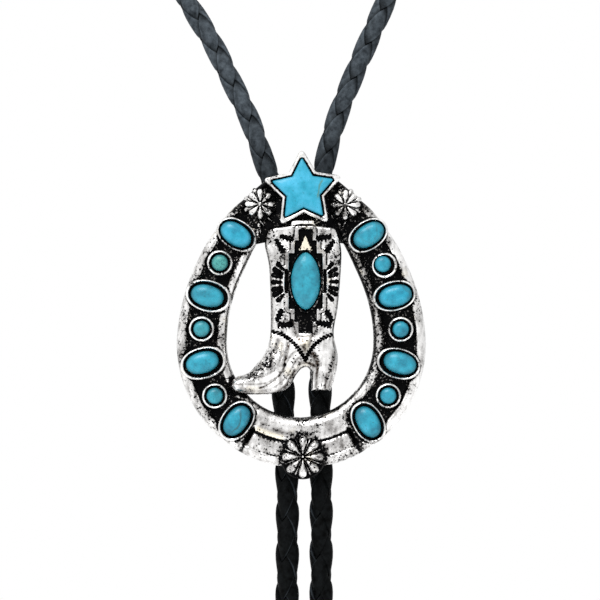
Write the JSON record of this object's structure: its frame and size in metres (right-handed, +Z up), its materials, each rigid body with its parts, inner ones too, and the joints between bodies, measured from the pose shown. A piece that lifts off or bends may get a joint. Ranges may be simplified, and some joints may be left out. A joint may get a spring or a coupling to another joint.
{
  "type": "bolo tie",
  "caption": "Bolo tie: a cast horseshoe slide with a boot, a star and conchos, set with turquoise stones, on a braided leather cord with metal tips.",
  "frame": {"origin": "the nape, in the middle of the cord where the loop hangs on the back of the neck", "axes": "+Z up along the wearer, -Y the way that the slide faces, +X to the viewer's right"},
  "size_m": [0.1149, 0.1259, 0.3609],
  "materials": {
    "antique_silver": "white metal plated antique silver, bright on the high places and blackened in the recesses",
    "turquoise": "polished turquoise cabochons with faint veins",
    "black_leather": "round braid of black leather strips, softly shining",
    "clip_steel": "plain plated steel",
    "tip_metal": "antique silver plate"
  },
  "bodies": {
    "root": {"slide_casting": "antique_silver", "star_stone": "turquoise", "marquise_stone": "turquoise", "oval_stone_left_1": "turquoise", "oval_stone_left_2": "turquoise", "oval_stone_left_3": "turquoise", "oval_stone_left_4": "turquoise", "oval_stone_right_1": "turquoise", "oval_stone_right_2": "turquoise", "oval_stone_right_3": "turquoise", "oval_stone_right_4": "turquoise", "round_stone_left_1": "turquoise", "round_stone_left_2": "turquoise", "round_stone_left_3": "turquoise", "round_stone_right_1": "turquoise", "round_stone_right_2": "turquoise", "round_stone_right_3": "turquoise", "cord_clip": "clip_steel", "cord_left": "black_leather", "cord_right": "black_leather", "tip_left": "tip_metal", "tip_right": "tip_metal"}
  },
  "joints": []
}
